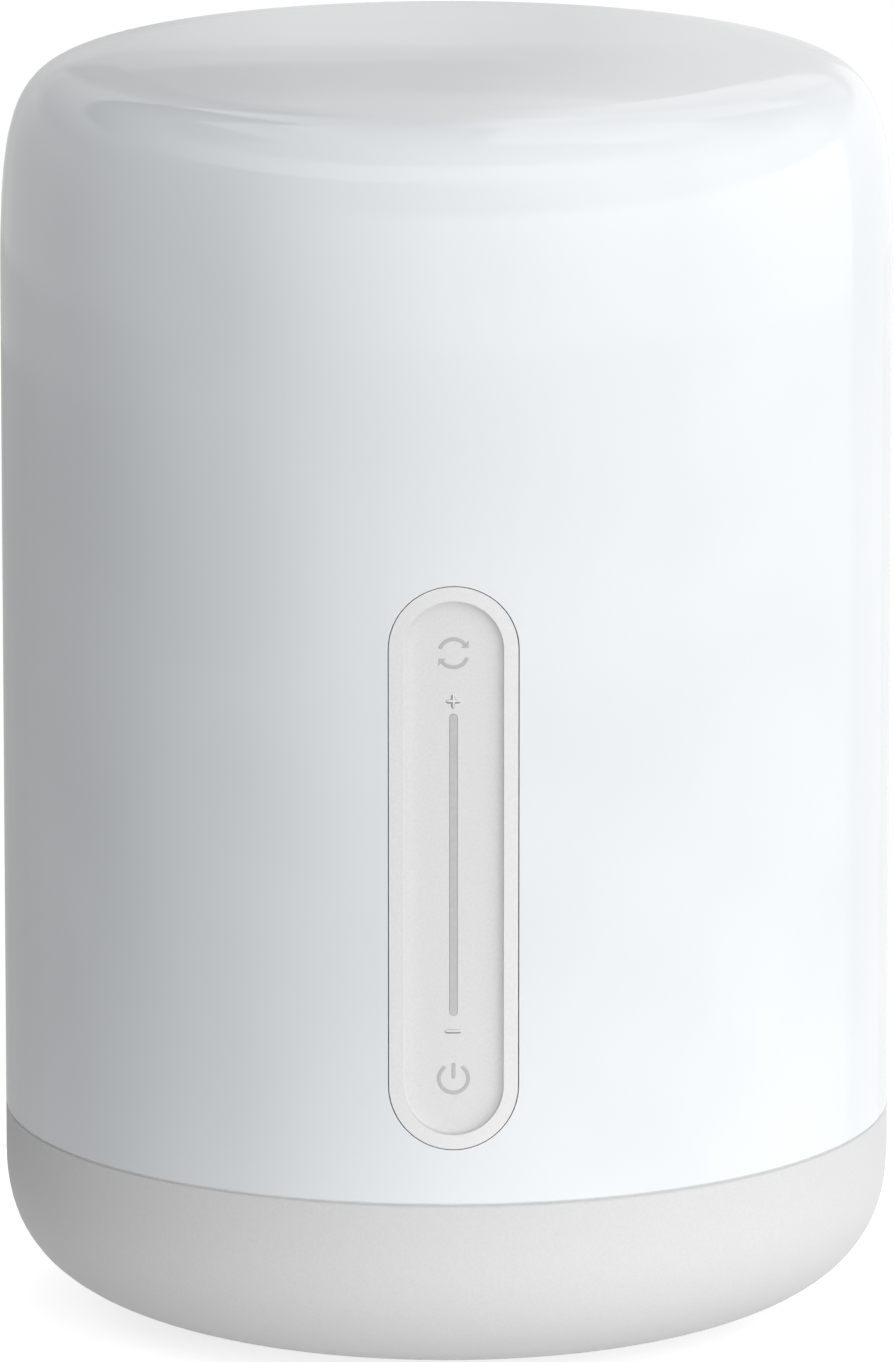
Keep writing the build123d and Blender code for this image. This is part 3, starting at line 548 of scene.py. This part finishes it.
# %% A sheet from a grid
def sheet(name, grid, material, closed=False):
    """A stage object from points (rows, columns, 3). Closed joins the last column to the first."""
    rows, columns = grid.shape[:2]
    mesh = bpy.data.meshes.new(name)
    mesh.from_pydata(grid.reshape(-1, 3).tolist(), [], joined(rows, columns, close_columns=closed))
    mesh.materials.append(material)
    made = bpy.data.objects.new(name, mesh)
    bpy.context.scene.collection.objects.link(made)
    print(name, rows, "by", columns, "points")
    return made


# %% [markdown]
# ## The table
# The lamp stands on a small round light table, a sheet of pale laminate with a weak lamp below its
# front, which lifts the turned-under edge of the base a little. To the camera and in reflections the
# table is lifted to plain white, as in the photograph, and it keeps the lamp's shadow. A stronger glow
# would do the same with less work, but it would light the lamp from below.


# %% Table
def seen_by_eye(tree):
    """1 for rays from the camera, in a mirror or through glass, and 0 for the rays that only carry
    light."""
    path = add(tree, "ShaderNodeLightPath").outputs
    seen = add(tree, "ShaderNodeMath", {0: path["Is Camera Ray"], 1: path["Is Glossy Ray"]},
               operation="MAXIMUM")
    seen = add(tree, "ShaderNodeMath", {0: seen.outputs["Value"], 1: path["Is Transmission Ray"]},
               operation="MAXIMUM")
    return seen.outputs["Value"]


laminate = surface("pale_laminate_matt", "DCDCDC", "D6D6D6", 3, (0.6, 0.7), IOR=1.5)
table_glow, table_lift = 0.25, 0.73
glow_end, glow_start = -0.1, -0.02
tree = laminate.node_tree
shader = tree.nodes["Principled BSDF"]
place = add(tree, "ShaderNodeTexCoord").outputs["Object"]
depth = add(tree, "ShaderNodeSeparateXYZ", {"Vector": place}).outputs["Y"]
glow = add(tree, "ShaderNodeMapRange", {"Value": depth, "From Min": glow_end, "From Max": glow_start,
                                        "To Min": table_glow, "To Max": 0.0}).outputs["Result"]
lift = add(tree, "ShaderNodeMapRange", {"Value": seen_by_eye(tree), "To Min": glow, "To Max": table_lift})
shader.inputs["Emission Color"].default_value = linear("FFFFFF")
tree.links.new(lift.outputs["Result"], shader.inputs["Emission Strength"])

table_radius, table_rings, table_spokes = 0.12, 24, 96
shares, turns = np.linspace(0, 1, table_rings), np.linspace(0, 2 * pi, table_spokes, endpoint=False)
share, turn = np.meshgrid(shares, turns, indexing="ij")
table_grid = table_radius * np.stack([share * np.cos(turn), share * np.sin(turn), 0 * share], axis=-1)
sheet("table", table_grid, laminate, closed=True)

# %% [markdown]
# ## The white room
# The room behind the table is white to the camera and in reflections. For all other rays it is only a
# weak fill light, because a white room at full strength would wash the lamp out. A backdrop sheet could
# be white too, but it would stand in the way when the lamp is seen from behind.

# %% World
fill_light = 0.15
world = bpy.data.worlds.new("white_room")
world.use_nodes = True
tree = world.node_tree
level = add(tree, "ShaderNodeMapRange", {"Value": seen_by_eye(tree), "To Min": fill_light, "To Max": 1.0})
tree.nodes["Background"].inputs["Color"].default_value = linear("FFFFFF")
tree.links.new(level.outputs["Result"], tree.nodes["Background"].inputs["Strength"])
bpy.context.scene.world = world
bpy.context.scene.view_settings.view_transform = "Standard"
print("fill light", fill_light)

# %% [markdown]
# ## The light tent
# In the photograph the light is very wide: the gloss shows one even reflection from the middle to the
# right edge, and a slow fall to grey at the left. A photographer makes this with a tent of diffuser
# cloth, lit from outside at the front and the right, with a dark flag at the left. Lamps with large
# areas could stand for it, but a cloth with its own pattern of light shows in the gloss as the real one
# does.


# %% A lit cloth
def lit_cloth(name, kind, stops, scale=1.0, offset=0.0):
    """A glowing cloth. A gradient of the given kind runs from 0 to 1 over scale times the place plus
    offset, and stops (gradient, level) say how bright it is."""
    material = bpy.data.materials.new(name)
    material.use_nodes = True
    tree = material.node_tree
    tree.nodes.remove(tree.nodes["Principled BSDF"])
    place = add(tree, "ShaderNodeTexCoord").outputs["Object"]
    place = add(tree, "ShaderNodeMapping", {"Vector": place, "Scale": (scale,) * 3,
                                            "Location": (offset, 0, 0)})
    run = add(tree, "ShaderNodeTexGradient", {"Vector": place.outputs["Vector"]}, gradient_type=kind)
    ramp = add(tree, "ShaderNodeValToRGB", {"Fac": run.outputs["Fac"]})
    brightest = max(level for _, level in stops)
    set_stops(ramp, [(position, (*[level / brightest] * 3, 1)) for position, level in stops])
    glow = add(tree, "ShaderNodeEmission", {"Color": ramp.outputs["Color"], "Strength": brightest})
    tree.links.new(glow.outputs["Emission"], tree.nodes["Material Output"].inputs["Surface"])
    return material


def flat_cards(*cards):
    """Stops of cards (from, to, level). Cards that meet have a sharp seam, and a gap between two is a
    smooth change."""
    seam = 0.001
    return [stop for start, end, level in cards for stop in ((start + seam, level), (end - seam, level))]


print("stops of two cards that meet", flat_cards((0, 1, 0.5), (1, 2, 1.0)))

# %% [markdown]
# ## Walls of the tent
# The curved edge of the top shows more of the tent: straight borders between pale and darker cards
# behind the lamp. So the walls are eight rings of cloth, one above the other, each smooth in front and
# flat from seam to seam behind. The upper rings are dimmer in front, so that the top doesn't turn white
# when it is seen from behind. Angles are degrees from the front, to the right. The camera doesn't see
# the cloth.

# %% Levels of the walls
tent_radius = 1.0
tent_start, tent_end = -90, 270
floor_level, roof_height = -0.9, 1.3
heights = {"hem": -0.36, "knee": -0.03, "hip": 0.0, "eye": 0.356, "lash": 0.384, "brow": 0.435,
           "crown": 0.75, "high": roof_height}
low_front = [(-55, 0.0), (-30, 0.8), (0, 1.43), (30, 1.6), (60, 1.33), (90, 1.45), (124, 1.24)]
eye_front = [(-55, 0.0), (-30, 0.85), (0, 1.72), (30, 1.88), (60, 1.55), (90, 1.67), (124, 1.4)]
upper_front = [(-55, 0.0), (-30, 0.66), (0, 1.06), (30, 1.12), (60, 0.98), (90, 1.0), (124, 0.95)]
high_front = [(-55, 0.8), (-30, 1.3), (0, 1.52), (30, 1.36), (60, 0.84), (90, 0.71), (112, 0.82),
              (124, 0.6)]
fronts = {"hem": low_front, "knee": low_front, "hip": low_front, "eye": eye_front, "lash": upper_front,
          "brow": upper_front, "crown": upper_front, "high": high_front}
side_levels = {"hem": 0.0, "knee": 0.0, "hip": 0.15, "eye": 0.3, "lash": 0.25, "brow": 0.2, "crown": 0.2,
               "high": 0.4}
low_cards = ((124, 150, 1.06), (150, 177, 0.98), (177, 237, 0.45))
cards = {
    "hem": low_cards,
    "knee": low_cards,
    "hip": ((124, 150, 1.06), (150, 168, 1.0), (170, 177, 0.95), (177, 200, 0.53), (202, 237, 0.55)),
    "eye": ((124, 150, 1.06), (150, 167, 1.05), (169, 175, 0.84), (177, 178.4, 0.72), (179, 182, 0.77),
            (184, 200, 0.6), (202, 237, 0.65)),
    "lash": ((124, 150, 0.98), (150, 167, 0.95), (169, 175, 0.84), (177, 178.4, 0.66), (179, 182, 0.66),
             (184, 200, 0.5), (202, 237, 0.6)),
    "brow": ((124, 150, 0.9), (150, 175, 0.84), (179, 181, 0.54), (184, 190, 0.38), (190, 237, 0.55)),
    "crown": ((124, 150, 0.82), (150, 163, 0.94), (165, 175.5, 1.06), (179, 181, 0.65), (184, 190, 0.36),
              (190, 237, 0.46)),
    "high": ((124, 150, 0.78), (150, 176, 1.2), (179, 190, 0.65), (190, 237, 0.12)),
}
print("rings", ", ".join(heights))

# %% [markdown]
# ## Hanging the walls
# Each ring is a grid of angles by heights on a cylinder round the lamp. Its gradient runs once round the
# axis and starts at the left, where the cloth has its hidden seam, so both ends of a ring have one level.
# The lowest ring, the hem, is there for the gloss alone, which would otherwise show the tent's lower edge
# when the lamp is seen from above. Matte surfaces don't see it, so that it doesn't light them from below.

# %% Tent walls
wall_columns, wall_rows = 145, 5
turns = np.radians(np.linspace(tent_start, tent_end, wall_columns))
bottom = floor_level
for ring, top in heights.items():
    side = side_levels[ring]
    levels = [(tent_start, side), *fronts[ring], *flat_cards(*cards[ring]), (tent_end, side)]
    stops = [((angle - tent_start) / (tent_end - tent_start), level) for angle, level in levels]
    cloth = lit_cloth("diffuser_cloth_tent_wall_" + ring, "RADIAL", stops)
    turn, height = np.meshgrid(turns, np.linspace(bottom, top, wall_rows), indexing="ij")
    wall_grid = np.stack([tent_radius * np.sin(turn), -tent_radius * np.cos(turn), height], axis=-1)
    wall = sheet("tent_wall_" + ring, wall_grid, cloth)
    wall.visible_camera = False
    wall.visible_diffuse = ring != "hem"
    bottom = top

# %% [markdown]
# ## Roof of the tent
# The top of the lamp is lit from above, and its curved edge shows a bright strip overhead. So the roof
# has two halves: the front one changes slowly from left to right, and the back one is made of cards.
# Places run from -1 at the left wall to 1 at the right one.

# %% Tent roof
roof_columns, roof_rows = 9, 5
front_levels = [(-1, 0.2), (-0.5, 0.42), (-0.25, 0.76), (0.25, 0.76), (0.5, 0.6), (1, 0.42)]
back_cards = ((-1, -0.5, 0.02), (-0.5, -0.28, 0.6), (-0.28, 0.1, 0.8), (0.1, 0.5, 1.4))
back_levels = flat_cards(*back_cards) + [(1, 0.55)]
roof_halves = {"tent_roof_front": (-1, 0, front_levels), "tent_roof_back": (0, 1, back_levels)}
for name, (near, far, levels) in roof_halves.items():
    stops = [((place + 1) / 2, level) for place, level in levels]
    cloth = lit_cloth("diffuser_cloth_" + name, "LINEAR", stops, scale=0.5 / tent_radius, offset=0.5)
    places, depths = np.linspace(-1, 1, roof_columns), np.linspace(near, far, roof_rows)
    across, along = np.meshgrid(places, depths, indexing="ij")
    roof_grid = np.stack([tent_radius * across, tent_radius * along, 0 * across + roof_height], axis=-1)
    sheet(name, roof_grid, cloth).visible_camera = False
